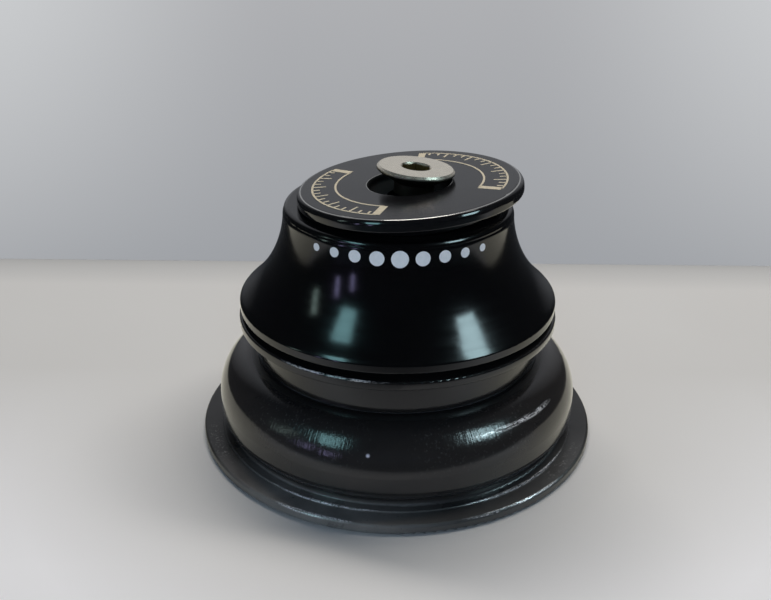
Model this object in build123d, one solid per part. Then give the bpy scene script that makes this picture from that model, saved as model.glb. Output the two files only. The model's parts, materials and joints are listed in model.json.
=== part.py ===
from build123d import *
from math import atan, atan2, cos, degrees, floor, hypot, pi, radians, sin, sqrt, tan
import os

# A semi-integrated bicycle headset for a tapered steerer, stacked loosely as it comes out of its box.
# Millimetres. +Z is the steering axis, and the origin is the middle of the lower cup's underside, which
# stands on the table. From the table up: lower cup with its caged balls and crown race, upper cup nested
# in the lower cup's hole, inner race, compression ring, top cover, and a top cap with bolt and star nut.
# A section is drawn as radius and height, and turned about the axis it belongs to.

# The tube and the fork that the headset serves
STEERER_DIA = 28.6            # steerer tube at the top
STEERER_WALL = 1.6
CROWN_SEAT_DIA = 39.8         # race seat on the fork crown

# Clearances
ROLL_GAP = 0.05               # a ball to its tracks
POCKET_GAP = 0.12             # a ball to its cage
STEERER_GAP = 0.06            # steerer to the rings that slide on it
RUN_GAP = 0.4                 # a turning ring to the cup's mouth
LIP_GAP = 0.2                 # a seal's lip to the face that it wipes
SEAT_GAP = 0.02               # pieces that seat on each other
THREAD_GAP = 0.05             # bolt to star nut
PASSAGE_GAP = 0.55            # lower cup's hole to the steerer's wide foot
TABLE_GAP = 0.3               # crown race to the table
COVER_GAP = 1.0               # the dark line between the upper cup and the cover

# Balls and cages
BALL_DIA = 3.969              # five thirty-seconds of an inch
BALL_PITCH = 5.0              # least distance from ball to ball round the ring
CUP_TRACK_ARC = 70.0          # degrees of track in a cup, from the height of the ball centres
RACE_TRACK_ARC = 55.0         # degrees of track on a race
RACE_TRACK_START = 15.0       # degrees from the height of the ball centres to a race's track
CAGE_SHEET = 0.5
CAGE_RIM = 2.6                # from the ball centres to the cage's closed edge
CAGE_FINGER = 1.2             # from the ball centres to the ends of the cage's fingers

# Lower cup and crown race
LOWER_RACE_BODY = 3.3         # crown race bore to ball centres
LOWER_SHELL = 4.8             # ball centres to the press band, and to the cup's top
LOWER_SHOULDER = 6.4          # round of the cup's shoulder
LOWER_BALL_HEIGHT = 8.6       # ball centres above the table
LOWER_TOP_WALL = 1.8
LOWER_FLANGE_REACH = 2.9      # flange beyond the press band
LOWER_FLANGE_SHEET = 1.5
LOWER_STEP = 0.25             # low step on the flange, inside the press band
LOWER_RELIEF_DEPTH = 1.4      # waist between the flange and the press band
LOWER_RELIEF_HEIGHT = 0.9
LOWER_RELIEF_RISE = 1.8
HOLE_ROUND = 0.5              # rounded rim of the lower cup's hole
CROWN_FLANGE_HEIGHT = 3.1
CROWN_FLANGE_INSET = 0.2      # crown race flange inside the run gap
CROWN_SEAL_HEIGHT = 1.7
CROWN_SEAL_DEPTH = 0.8
CROWN_SEAL_RISE = 0.6         # seal groove above the race's underside

# Upper cup and inner race
UPPER_RACE_BODY = 3.28        # steerer to ball centres
UPPER_SHELL = 4.42            # ball centres to the press band, and to the cup's bottom
UPPER_SHOULDER = 6.6          # round of the cup's bowl
UPPER_BOTTOM_WALL = 1.7
UPPER_HOLE_PLAY = 1.0         # cup's hole around the steerer
UPPER_BAND = 1.4              # straight press band below the flange
UPPER_FLANGE_REACH = 2.35
UPPER_FLANGE_SHEET = 1.4
RACE_PLAY = 0.3               # inner race around the steerer
RACE_SEAT = 2.8               # width of the race's slanted seat for the compression ring
RACE_WALL = 1.45              # between the ball track and the slanted seat
RACE_DROP = 0.3               # race's top below the cup's flange
RACE_RIM = 2.2                # height of the race's outer edge

# Compression ring and shims
RING_COLLAR = 1.3             # straight collar above the slanted wedge
RING_SLIT = 2.0
RING_SLIT_AZIMUTH = 120.0
SHIM_SHEET = 0.25
SHIM_REACH = 3.0

# Top cover
COVER_HEIGHT = 15.95
COVER_INSET = 0.2             # cover's skirt inside the upper cup's flange
COVER_LIP = 1.2               # upright band at the foot of the cover
COVER_LIP_ROUND = 0.35
COVER_SHOULDER_PULL = 0.9     # how strongly the flank starts upright, as a curve's handle
COVER_FLANK_WALL = 3.35       # place of the flank's middle handle, from the bore
COVER_FLANK_RISE = 4.85       # and above the cover's foot
COVER_NECK_PULL = 1.1         # how strongly the flank ends upright
COVER_NECK_WALL = 2.8
COVER_NECK_DROP = 1.35         # narrowest place below the top
COVER_RIM_WALL = 2.65
COVER_RIM_ROUND = 0.8
COVER_SKIRT_WALL = 2.6
COVER_POCKET = 2.2            # height of the seal's pocket
COVER_BOSS_WALL = 4.0         # ring inside the cover that presses on the shims
COVER_RELIEF = 0.6            # cover's bore is wider between the boss and the top
COVER_RELIEF_FOOT = 3.0
O_RING_SECTION = 1.6
O_RING_RISE = 9.6             # above the cover's foot
O_RING_SIDE_GAP = 0.15

# Dust seal under the cover
SEAL_BODY = 2.4               # width of the part held in the pocket
SEAL_BODY_HEIGHT = 1.1
SEAL_LIP = 0.6                # thickness of the wiping lip
SEAL_FLARE = 0.9              # how far the lip leans out

# Top cap
CAP_OVERLAP = 2.34            # cap beyond the cover's bore
CAP_THICKNESS = 1.8
CAP_EDGE_ROUND = 0.9
CAP_FOOT_ROUND = 0.3
CAP_SPIGOT_PLAY = 0.86        # spigot inside the cover's bore
CAP_SPIGOT_DEPTH = 1.75
CAP_HOLE_DIA = 7.0
CAP_RECESS_DIA = 12.2
CAP_RECESS_WALL = 1.1
CAP_RECESS_CONE = 0.8
CAP_RECESS_ROUND = 0.4
CAP_SHIFT = 1.78              # the loose cap has slid sideways
CAP_AZIMUTH = -12.0           # direction in which the cap has slid, and in which it is up

# Bolt and star nut
BOLT_DIA = 5.94
BOLT_LENGTH = 30.0
BOLT_TIP_CHAMFER = 0.6
BOLT_AZIMUTH = 22.0           # direction in which the bolt leans
BOLT_LEAN = 5.4
BOLT_LIFT = 1.9              # the loose bolt stands above the recess it will seat in
HEAD_DIA = 11.5
HEAD_RIM = 0.9
HEAD_EDGE = 0.25
HEAD_CONE = 1.4
HEX_ACROSS_FLATS = 4.0
HEX_DEPTH = 1.9
HUB_WALL = 1.6
HUB_LENGTH = 12.0
HUB_RISE = 3.0                # star nut above the bolt's tip
STAR_BITE = 0.2               # how far the petals bite into the steerer
STAR_SHEET = 0.6
STAR_DISH = 1.8               # how far the petals' ends stand above their root
STAR_RISE = 2.5               # first star above the hub's foot
STAR_SPACING = 6.0
STAR_ROOT = 2.2               # closed ring round the hub
STAR_SLOT = 3.4
STAR_PETALS = 8

# Radii and heights that follow from the sizes above
ball_r = BALL_DIA / 2
groove_r = ball_r + ROLL_GAP
bore_r = STEERER_DIA / 2 + STEERER_GAP
crown_r = CROWN_SEAT_DIA / 2

lower_pitch_r = crown_r + LOWER_RACE_BODY
lower_mouth_r = lower_pitch_r + groove_r
lower_press_r = lower_pitch_r + LOWER_SHELL
lower_flange_r = lower_press_r + LOWER_FLANGE_REACH
lower_waist_r = lower_press_r - LOWER_RELIEF_DEPTH
lower_hole_r = crown_r + PASSAGE_GAP
lower_shoulder = min(LOWER_SHOULDER, lower_press_r - lower_hole_r - HOLE_ROUND - SEAT_GAP)
lower_top_z = LOWER_BALL_HEIGHT + LOWER_SHELL

upper_pitch_r = STEERER_DIA / 2 + UPPER_RACE_BODY
upper_mouth_r = upper_pitch_r + groove_r
upper_press_r = upper_pitch_r + UPPER_SHELL
upper_flange_r = upper_press_r + UPPER_FLANGE_REACH
upper_hole_r = STEERER_DIA / 2 + UPPER_HOLE_PLAY
upper_shoulder = min(UPPER_SHOULDER, upper_press_r - upper_hole_r - SEAT_GAP)

# The upper cup drops into the lower cup's hole until its round bowl meets the hole's rim. Where the hole
# is wider than the bowl, it drops until its flange meets the lower cup's top.
bowl_centre_r = upper_press_r - upper_shoulder
rim_span = lower_hole_r + HOLE_ROUND - bowl_centre_r
bowl_reach = upper_shoulder + HOLE_ROUND + SEAT_GAP
if rim_span < bowl_reach:
    bowl_centre_z = lower_top_z - HOLE_ROUND + sqrt(bowl_reach ** 2 - rim_span ** 2)
else:
    bowl_centre_z = lower_top_z + SEAT_GAP - UPPER_BAND
upper_ball_z = bowl_centre_z - upper_shoulder + UPPER_SHELL
upper_bottom_z = bowl_centre_z - upper_shoulder
upper_flange_z = bowl_centre_z + UPPER_BAND
upper_top_z = upper_flange_z + UPPER_FLANGE_SHEET

race_bore_r = STEERER_DIA / 2 + RACE_PLAY
race_top_z = upper_top_z - RACE_DROP
track_gap = upper_pitch_r - race_bore_r - (groove_r + RACE_WALL) * sqrt(2)
race_seat_z = upper_ball_z - track_gap
ring_foot_z = race_seat_z + RACE_PLAY + SEAT_GAP * sqrt(2)
ring_shoulder_z = race_seat_z + RACE_SEAT + SEAT_GAP * sqrt(2)
ring_r = race_bore_r + RACE_SEAT
ring_top_z = max(ring_shoulder_z, race_top_z + SEAT_GAP) + RING_COLLAR
boss_z = ring_top_z + 2 * (SHIM_SHEET + SEAT_GAP) + SEAT_GAP

cover_foot_z = upper_top_z + COVER_GAP
cover_top_z = cover_foot_z + COVER_HEIGHT
cover_skirt_r = upper_flange_r - COVER_INSET
neck_r = bore_r + COVER_NECK_WALL
boss_r = bore_r + COVER_BOSS_WALL
pocket_r = cover_skirt_r - COVER_SKIRT_WALL
pocket_z = cover_foot_z + COVER_POCKET
o_ring_z = cover_foot_z + O_RING_RISE

cap_r = bore_r + CAP_OVERLAP
spigot_r = bore_r - CAP_SPIGOT_PLAY
cap_hole_r = CAP_HOLE_DIA / 2

# The cap has slid until its spigot rides on the edge of the cover's bore, so one side of the cap is up.
# The spigot meets the edge where its circle crosses that of the bore, and the cap's foot meets the cover
# on the far side. That span and the spigot's depth give the tilt.
crossing = (bore_r ** 2 - spigot_r ** 2 + CAP_SHIFT ** 2) / (2 * CAP_SHIFT)
foot_span = cap_r - CAP_FOOT_ROUND - CAP_SHIFT
cap_tilt = degrees(atan((CAP_SPIGOT_DEPTH + SEAT_GAP) / (crossing + foot_span)))
cap_rise = (cap_r - CAP_FOOT_ROUND) * sin(radians(cap_tilt)) + CAP_FOOT_ROUND * (1 - cos(radians(cap_tilt)))
cap_z = cover_top_z + SEAT_GAP + cap_rise

# The bolt leans against the side of the cap's hole, half-way through the web under the recess. The cap's
# axis leans back from the way it has slid, so the two leans add up to the bolt's tilt in the hole.
web = CAP_THICKNESS + CAP_SPIGOT_DEPTH - CAP_RECESS_WALL - CAP_RECESS_CONE
bolt_turn = BOLT_AZIMUTH - CAP_AZIMUTH
tilt_along = cap_tilt + BOLT_LEAN * cos(radians(bolt_turn))
tilt_aside = BOLT_LEAN * sin(radians(bolt_turn))
cross_tilt = radians(hypot(tilt_along, tilt_aside))
cross_turn = atan2(tilt_aside, tilt_along)
web_middle = web / 2 - CAP_SPIGOT_DEPTH
bolt_r = BOLT_DIA / 2
bolt_play = cap_hole_r - bolt_r / cos(cross_tilt) - web / 2 * tan(cross_tilt) - THREAD_GAP
bolt_x = CAP_SHIFT - web_middle * sin(radians(cap_tilt)) + bolt_play * cos(cross_turn)
bolt_y = bolt_play * sin(cross_turn)
bolt_z = cap_z + web_middle * cos(radians(cap_tilt))
head_height = HEAD_RIM + HEAD_CONE
bolt_foot = -(head_height + BOLT_LENGTH)
bolt_above_web = web / 2 + BOLT_LIFT + head_height
hub_foot = bolt_foot + HUB_RISE
hub_r = bolt_r + THREAD_GAP + HUB_WALL
star_r = STEERER_DIA / 2 - STEERER_WALL + STAR_BITE

cap_plane = Rot(0, 0, CAP_AZIMUTH)
cap_place = cap_plane * Pos(CAP_SHIFT, 0, cap_z) * Rot(0, -cap_tilt, 0)
bolt_place = (cap_plane * Pos(bolt_x, bolt_y, bolt_z) * Rot(0, 0, bolt_turn) * Rot(0, BOLT_LEAN, 0)
              * Pos(0, 0, bolt_above_web))


def turned(*edges):
    """Turns a closed section, drawn as radius and height, about the Z axis."""
    return revolve(Plane.XZ * make_face(edges), Axis.Z)


def rounded(*corners):
    """A closed outline of corners (radius, height) or, where rounded, (radius, height, round)."""
    points = [corner[:2] for corner in corners]
    rounds = [corner[2] if len(corner) > 2 else 0 for corner in corners]
    return FilletPolyline(*points, radius=rounds, close=True)


def from_track(track, *corners):
    """The rest of a race's outline, from the end of its ball track round to the start."""
    points = [track @ 1] + [corner[:2] for corner in corners] + [track @ 0]
    rounds = [corner[2] if len(corner) > 2 else 0 for corner in corners]
    return FilletPolyline(*points, radius=rounds)


def ball_count(pitch_r):
    """As many balls as the cage's pitch lets in."""
    return floor(2 * pi * pitch_r / BALL_PITCH)


def balls(pitch_r, height):
    """The ring of balls, as one group of separate solids."""
    ring = PolarLocations(pitch_r, ball_count(pitch_r))
    return Compound([Pos(0, 0, height) * place * Sphere(ball_r) for place in ring])


def ball_cage(pitch_r, height, side):
    """A coned strip with its closed edge inside the balls: side is 1 above them and -1 below."""
    half = CAGE_SHEET / 2
    corners = ((-CAGE_FINGER, -half), (CAGE_RIM, -half), (CAGE_RIM, half), (-CAGE_FINGER, half))
    section = [(pitch_r + (across - along) / sqrt(2), height + side * (across + along) / sqrt(2))
               for along, across in corners]
    strip = turned(Polyline(*section, close=True))
    pocket = Rot(0, 90 - side * 45, 0) * Cylinder(ball_r + POCKET_GAP, 4 * ball_r)
    ring = PolarLocations(pitch_r, ball_count(pitch_r))
    return strip - [Pos(0, 0, height) * place * pocket for place in ring]


def lower_cup():
    """Pressed and turned steel cup: flange, waist, press band, round shoulder, ball track inside."""
    track = CenterArc((lower_pitch_r, LOWER_BALL_HEIGHT), groove_r, 0, CUP_TRACK_ARC)
    step_z = LOWER_FLANGE_SHEET + LOWER_STEP
    waist_z = step_z + LOWER_RELIEF_HEIGHT
    return turned(track, from_track(
        track,
        (lower_hole_r, lower_top_z - LOWER_TOP_WALL, HOLE_ROUND),
        (lower_hole_r, lower_top_z, HOLE_ROUND),
        (lower_press_r, lower_top_z, lower_shoulder),
        (lower_press_r, waist_z + LOWER_RELIEF_RISE, LOWER_RELIEF_DEPTH),
        (lower_waist_r, waist_z, LOWER_RELIEF_HEIGHT / 2),
        (lower_waist_r, step_z, LOWER_RELIEF_HEIGHT / 3),
        (lower_press_r, step_z, LOWER_STEP / 2),
        (lower_press_r, LOWER_FLANGE_SHEET),
        (lower_flange_r, LOWER_FLANGE_SHEET, LOWER_FLANGE_SHEET / 4),
        (lower_flange_r, 0, LOWER_FLANGE_SHEET / 4),
        (lower_mouth_r + RUN_GAP, 0),
        (lower_mouth_r, RUN_GAP)))


def crown_race():
    """Race that the fork crown carries: ball track on top, seal groove round its flange."""
    track = CenterArc((lower_pitch_r, LOWER_BALL_HEIGHT), groove_r, 180 + RACE_TRACK_START, RACE_TRACK_ARC)
    flange_r = lower_mouth_r - RUN_GAP - CROWN_FLANGE_INSET
    flange_z = TABLE_GAP + CROWN_FLANGE_HEIGHT
    groove_z = TABLE_GAP + CROWN_SEAL_RISE
    seal_r = flange_r - CROWN_SEAL_DEPTH
    return turned(track, from_track(
        track,
        (seal_r, flange_z + CROWN_SEAL_DEPTH, CROWN_SEAL_DEPTH / 2),
        (flange_r, flange_z),
        (flange_r, groove_z + CROWN_SEAL_HEIGHT),
        (seal_r, groove_z + CROWN_SEAL_HEIGHT),
        (seal_r, groove_z),
        (flange_r, groove_z),
        (flange_r, TABLE_GAP),
        (crown_r + RUN_GAP, TABLE_GAP),
        (crown_r, TABLE_GAP + RUN_GAP),
        (crown_r, (track @ 0).Y + SEAT_GAP)))


def crown_seal():
    """Rubber ring in the crown race's groove, with its lip near the cup's mouth."""
    root_r = lower_mouth_r - RUN_GAP - CROWN_FLANGE_INSET - CROWN_SEAL_DEPTH + SEAT_GAP
    foot_z = TABLE_GAP + CROWN_SEAL_RISE + SEAT_GAP
    top_z = foot_z + CROWN_SEAL_HEIGHT - 2 * SEAT_GAP
    lip_r = lower_mouth_r - LIP_GAP
    middle_z = (foot_z + top_z) / 2
    return turned(rounded(
        (root_r, foot_z), (lip_r - CROWN_SEAL_DEPTH / 2, foot_z), (lip_r, middle_z),
        (lip_r - CROWN_SEAL_DEPTH / 2, top_z), (root_r, top_z)))


def upper_cup():
    """Pressed and turned steel cup: round bowl with the ball track inside, press band and flange."""
    track = CenterArc((upper_pitch_r, upper_ball_z), groove_r, 0, -CUP_TRACK_ARC)
    return turned(track, from_track(
        track,
        (upper_hole_r, upper_bottom_z + UPPER_BOTTOM_WALL, HOLE_ROUND),
        (upper_hole_r, upper_bottom_z),
        (upper_press_r, upper_bottom_z, upper_shoulder),
        (upper_press_r, upper_flange_z),
        (upper_flange_r, upper_flange_z, UPPER_FLANGE_SHEET / 5),
        (upper_flange_r, upper_top_z, UPPER_FLANGE_SHEET / 4),
        (upper_mouth_r + RUN_GAP, upper_top_z),
        (upper_mouth_r, upper_top_z - RUN_GAP)))


def upper_race():
    """Inner race: ball track below, slanted seat for the compression ring above."""
    track_from = 180 - RACE_TRACK_START - RACE_TRACK_ARC
    track = CenterArc((upper_pitch_r, upper_ball_z), groove_r, track_from, RACE_TRACK_ARC)
    rim_r = upper_mouth_r - RUN_GAP
    return turned(track, from_track(
        track,
        (race_bore_r, (track @ 1).Y),
        (race_bore_r, race_seat_z),
        (ring_r, race_seat_z + RACE_SEAT),
        (ring_r, race_top_z),
        (rim_r, race_top_z, RACE_DROP),
        (rim_r, race_top_z - RACE_RIM, RACE_DROP)))


def compression_ring():
    """Split ring whose 45 degree wedge is pressed between the inner race and the steerer."""
    wedge = turned(rounded(
        (bore_r, ring_foot_z),
        (race_bore_r + RACE_PLAY, ring_foot_z),
        (ring_r, ring_shoulder_z - SEAT_GAP),
        (ring_r - SEAT_GAP, ring_top_z, SHIM_SHEET),
        (bore_r, ring_top_z)))
    slit = Pos(ring_r, 0, ring_top_z) * Box(2 * ring_r, RING_SLIT, 4 * ring_r)
    return wedge - Rot(0, 0, RING_SLIT_AZIMUTH) * slit


def shim(place):
    """Thin steel ring that sets the running gap under the cover: place counts up from 0."""
    foot_z = ring_top_z + SEAT_GAP + place * (SHIM_SHEET + SEAT_GAP)
    outer_r = bore_r + SHIM_REACH
    return turned(rounded(
        (bore_r, foot_z), (outer_r, foot_z), (outer_r, foot_z + SHIM_SHEET), (bore_r, foot_z + SHIM_SHEET)))


def top_cover():
    """Bell-shaped cover: upright lip, round shoulder, hollow flank, narrow neck and flared rim."""
    lip_z = cover_foot_z + COVER_LIP
    neck_z = cover_top_z - COVER_NECK_DROP
    flank = Bezier(
        (cover_skirt_r, lip_z),
        (cover_skirt_r, lip_z + COVER_SHOULDER_PULL),
        (bore_r + COVER_FLANK_WALL, cover_foot_z + COVER_FLANK_RISE),
        (neck_r, neck_z - COVER_NECK_PULL),
        (neck_r, neck_z))
    rim_r = bore_r + COVER_RIM_WALL
    rim_foot_z = cover_top_z - COVER_RIM_ROUND
    flare = TangentArc(flank @ 1, (rim_r, rim_foot_z), tangent=flank % 1)
    edge = JernArc(flare @ 1, (0, 1), COVER_RIM_ROUND, 90)
    groove_r_outer = bore_r + O_RING_SECTION + SEAT_GAP
    groove_half = O_RING_SECTION / 2 + O_RING_SIDE_GAP
    relief_r = bore_r + COVER_RELIEF
    corners = [
        (bore_r, cover_top_z),
        (bore_r, o_ring_z + groove_half),
        (groove_r_outer, o_ring_z + groove_half),
        (groove_r_outer, o_ring_z - groove_half),
        (relief_r, o_ring_z - groove_half),
        (relief_r, boss_z + COVER_RELIEF_FOOT),
        (bore_r, boss_z + COVER_RELIEF_FOOT - COVER_RELIEF),
        (bore_r, boss_z),
        (boss_r, boss_z),
        (boss_r, pocket_z),
        (pocket_r, pocket_z),
        (pocket_r, cover_foot_z),
        (cover_skirt_r, cover_foot_z)]
    rounds = [0] * (len(corners) - 1) + [COVER_LIP_ROUND]
    inside = FilletPolyline(edge @ 1, *corners, flank @ 0, radius=rounds)
    return turned(flank, flare, edge, inside)


def o_ring():
    """Rubber ring in the cover's bore that keeps water off the steerer."""
    return Pos(0, 0, o_ring_z) * Torus(bore_r + O_RING_SECTION / 2, O_RING_SECTION / 2)


def dust_seal():
    """Rubber ring in the cover's pocket, with a lip that leans out over the cup's flange."""
    root_r = pocket_r - SEAT_GAP
    top_z = pocket_z - SEAT_GAP
    body_z = top_z - SEAL_BODY_HEIGHT
    lip_z = upper_top_z + LIP_GAP
    return turned(rounded(
        (root_r - SEAL_BODY, top_z),
        (root_r, top_z),
        (root_r, body_z),
        (root_r - SEAL_FLARE, body_z),
        (root_r - SEAT_GAP, lip_z),
        (root_r - SEAT_GAP - SEAL_LIP, lip_z),
        (root_r - SEAL_FLARE - SEAL_LIP, body_z),
        (root_r - SEAL_BODY, body_z)))


def top_cap():
    """Disc with a rounded edge, a spigot below and a countersunk recess, tilted on the cover."""
    recess_r = CAP_RECESS_DIA / 2
    recess_z = CAP_THICKNESS - CAP_RECESS_WALL
    return cap_place * turned(rounded(
        (cap_hole_r, -CAP_SPIGOT_DEPTH),
        (spigot_r, -CAP_SPIGOT_DEPTH, CAP_FOOT_ROUND),
        (spigot_r, 0),
        (cap_r, 0, CAP_FOOT_ROUND),
        (cap_r, CAP_THICKNESS, CAP_EDGE_ROUND),
        (recess_r, CAP_THICKNESS, CAP_RECESS_ROUND),
        (recess_r, recess_z, CAP_RECESS_ROUND),
        (cap_hole_r, recess_z - CAP_RECESS_CONE)))


def cap_bolt():
    """Flat-headed bolt with a hexagon socket, leaning in the cap's hole."""
    head_r = HEAD_DIA / 2
    blank = turned(rounded(
        (0, 0),
        (head_r - HEAD_EDGE, 0),
        (head_r, -HEAD_EDGE),
        (head_r, -HEAD_RIM),
        (bolt_r, -head_height),
        (bolt_r, bolt_foot + BOLT_TIP_CHAMFER),
        (bolt_r - BOLT_TIP_CHAMFER, bolt_foot),
        (0, bolt_foot)))
    socket = extrude(RegularPolygon(HEX_ACROSS_FLATS / 2, 6, major_radius=False), -HEX_DEPTH)
    return bolt_place * (blank - socket)


def star_hub():
    """Threaded sleeve of the star nut, on the lower part of the bolt."""
    inner_r = bolt_r + THREAD_GAP
    return bolt_place * turned(rounded(
        (inner_r, hub_foot), (hub_r, hub_foot, HUB_WALL / 4),
        (hub_r, hub_foot + HUB_LENGTH, HUB_WALL / 4), (inner_r, hub_foot + HUB_LENGTH)))


def star_spring(place):
    """Dished spring washer with slots between its petals: place counts up from 0."""
    root_r = hub_r + SEAT_GAP
    bend_r = hub_r + STAR_ROOT
    foot = hub_foot + STAR_RISE + place * STAR_SPACING
    washer = turned(rounded(
        (root_r, foot), (bend_r, foot), (star_r, foot + STAR_DISH),
        (star_r, foot + STAR_DISH + STAR_SHEET), (bend_r, foot + STAR_SHEET), (root_r, foot + STAR_SHEET)))
    slot_end = bend_r + STAR_SLOT / 2
    slot = Pos(slot_end, 0, foot) * (
        Cylinder(STAR_SLOT / 2, 4 * STAR_SPACING)
        + Pos(star_r / 2, 0, 0) * Box(star_r, STAR_SLOT, 4 * STAR_SPACING))
    slots = [Rot(0, 0, 360 * index / STAR_PETALS) * slot for index in range(STAR_PETALS)]
    return bolt_place * (washer - slots)


pieces = {
    "lower_cup": lower_cup(),
    "lower_ball_cage": ball_cage(lower_pitch_r, LOWER_BALL_HEIGHT, 1),
    "lower_balls": balls(lower_pitch_r, LOWER_BALL_HEIGHT),
    "crown_race": crown_race(),
    "crown_seal": crown_seal(),
    "upper_cup": upper_cup(),
    "upper_ball_cage": ball_cage(upper_pitch_r, upper_ball_z, -1),
    "upper_balls": balls(upper_pitch_r, upper_ball_z),
    "upper_race": upper_race(),
    "compression_ring": compression_ring(),
    "lower_shim": shim(0),
    "upper_shim": shim(1),
    "dust_seal": dust_seal(),
    "o_ring": o_ring(),
    "top_cover": top_cover(),
    "top_cap": top_cap(),
    "cap_bolt": cap_bolt(),
    "star_hub": star_hub(),
    "lower_star_spring": star_spring(0),
    "upper_star_spring": star_spring(1),
}

os.makedirs("parts", exist_ok=True)
for name, piece in pieces.items():
    export_step(piece, f"parts/{name}.step")

bolt_axis = (bolt_place.position - (bolt_place * Pos(0, 0, -1)).position).normalized()
print(f"press bands {2 * lower_press_r:.3f} and {2 * upper_press_r:.3f}, crown seat {CROWN_SEAT_DIA}")
print(f"lower band from {LOWER_FLANGE_SHEET:.2f} to {lower_top_z - lower_shoulder:.3f}")
print(f"upper cup {upper_bottom_z:.3f} to {upper_top_z:.3f}, cover {cover_foot_z:.3f} to {cover_top_z:.3f}")
print(f"balls {ball_count(lower_pitch_r)} and {ball_count(upper_pitch_r)}, upper ball z {upper_ball_z:.3f}")
print(f"cap tilt {cap_tilt:.3f}, bolt head {tuple(round(v, 4) for v in bolt_place.position)}")
print(f"bolt axis {tuple(round(v, 6) for v in bolt_axis)}")
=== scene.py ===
# %% [markdown]
# # A bicycle headset, stacked as it comes out of its box
# The frame holds every solid of the headset at its real size: two black steel cups, a bell-shaped
# cover, a loose top cap with its bolt, and the bearings inside. Those turned shapes are already right,
# so this lesson gives them their finishes, and models only what the solids leave out: the straight band
# of the upper cup, the bolt's thread and socket mouth, the fine scale on the cap and the printed dots on
# the cover.

# %% Load the frame
import json
import math
import bpy
from mathutils import Matrix, Quaternion, Vector


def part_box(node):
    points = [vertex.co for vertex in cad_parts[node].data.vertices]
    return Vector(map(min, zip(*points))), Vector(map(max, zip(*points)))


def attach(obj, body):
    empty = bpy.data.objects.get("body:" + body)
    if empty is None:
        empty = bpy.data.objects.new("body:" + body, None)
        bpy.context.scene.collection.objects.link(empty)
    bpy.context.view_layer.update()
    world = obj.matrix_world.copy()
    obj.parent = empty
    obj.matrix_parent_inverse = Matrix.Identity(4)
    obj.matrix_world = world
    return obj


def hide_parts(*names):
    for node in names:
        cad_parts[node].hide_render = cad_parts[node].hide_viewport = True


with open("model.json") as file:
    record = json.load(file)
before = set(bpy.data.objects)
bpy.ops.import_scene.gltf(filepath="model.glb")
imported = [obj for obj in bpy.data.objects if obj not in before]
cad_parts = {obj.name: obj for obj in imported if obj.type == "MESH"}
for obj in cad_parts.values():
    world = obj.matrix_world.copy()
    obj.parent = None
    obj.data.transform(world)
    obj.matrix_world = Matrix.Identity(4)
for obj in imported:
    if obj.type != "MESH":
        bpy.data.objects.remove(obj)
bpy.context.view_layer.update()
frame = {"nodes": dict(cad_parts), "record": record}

MM = 0.001
nodes = frame["nodes"]

# %% [markdown]
# ## The camera
# The photograph was taken from about a forearm away, looking down on the stack. A camera is placed by
# three directions, right, up and back, so it is easiest to work those out and write them as a matrix.
# Turn, nod and roll are the small ways in which the picture's middle misses the steering axis.

# %% Place the camera
PHOTO_WIDTH = 771
FOCAL_PIXELS = 1000
SENSOR = 36.0
VIEW_TARGET = Vector((0, 0, 15.2 * MM))
VIEW_DISTANCE = 157.8 * MM
VIEW_RISE = math.radians(27.32)
VIEW_TURN = math.radians(-0.68)
VIEW_NOD = math.radians(1.83)
VIEW_ROLL = math.radians(0.59)
NEAREST = 5 * MM


def deselect():
    """Clears the selection, because an operator acts on all that is selected."""
    bpy.ops.object.select_all(action="DESELECT")


back = Vector((0, -math.cos(VIEW_RISE), math.sin(VIEW_RISE)))
right = Vector((1, 0, 0))
up = back.cross(right)
ahead = -back * math.cos(VIEW_TURN) * math.cos(VIEW_NOD)
ahead += right * math.sin(VIEW_TURN)
ahead += up * math.sin(VIEW_NOD)
ahead.normalize()
right = ahead.cross(up).normalized()
up = right.cross(ahead)
rolled_right = right * math.cos(VIEW_ROLL) + up * math.sin(VIEW_ROLL)
rolled_up = up * math.cos(VIEW_ROLL) - right * math.sin(VIEW_ROLL)

deselect()
bpy.ops.object.camera_add()
camera = bpy.context.object
camera.data.sensor_width = SENSOR
camera.data.lens = FOCAL_PIXELS / PHOTO_WIDTH * SENSOR
camera.data.clip_start = NEAREST
camera.matrix_world = (Matrix.Translation(VIEW_TARGET + back * VIEW_DISTANCE)
                       @ Matrix((rolled_right, rolled_up, -ahead)).transposed().to_4x4())
bpy.context.scene.camera = camera
bpy.context.scene.view_settings.view_transform = "Standard"
print("camera at", [round(value / MM, 1) for value in camera.location], "mm")
print("lens", round(camera.data.lens, 1), "mm")

# %% [markdown]
# ## Colours and nodes
# A colour is written as the sRGB hex value that a picture editor shows, and one function turns it into
# the linear numbers that shaders work with. A second small function adds a node with its settings and
# its inputs, where an input is a plain value, or the node or socket that feeds it.

# %% Helpers for materials
# The sockets of a Mix node that take its two colours.
MIX_A = 6
MIX_B = 7


def srgb(code):
    """A hex colour as linear red, green and blue, with full alpha."""
    values = [int(code[i:i + 2], 16) / 255 for i in (1, 3, 5)]
    linear = [v / 12.92 if v <= 0.04045 else ((v + 0.055) / 1.055) ** 2.4 for v in values]
    return (*linear, 1.0)


def outlet(value):
    """A node stands for the first output that its settings leave in use, anything else for itself."""
    if isinstance(value, bpy.types.Node):
        return next(socket for socket in value.outputs if socket.enabled)
    return value


def add(tree, kind, inputs=None, **settings):
    """Adds a node: settings are its own, and each input is a value, a socket or a node."""
    node = tree.nodes.new("ShaderNode" + kind)
    for name, value in settings.items():
        setattr(node, name, value)
    for name, value in (inputs or {}).items():
        value = outlet(value)
        if isinstance(value, bpy.types.NodeSocket):
            tree.links.new(value, node.inputs[name])
        else:
            node.inputs[name].default_value = value
    return node


def span(none, full):
    """The limits of a mask: it is zero at none and one at full."""
    return {"From Min": none, "From Max": full}


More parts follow.
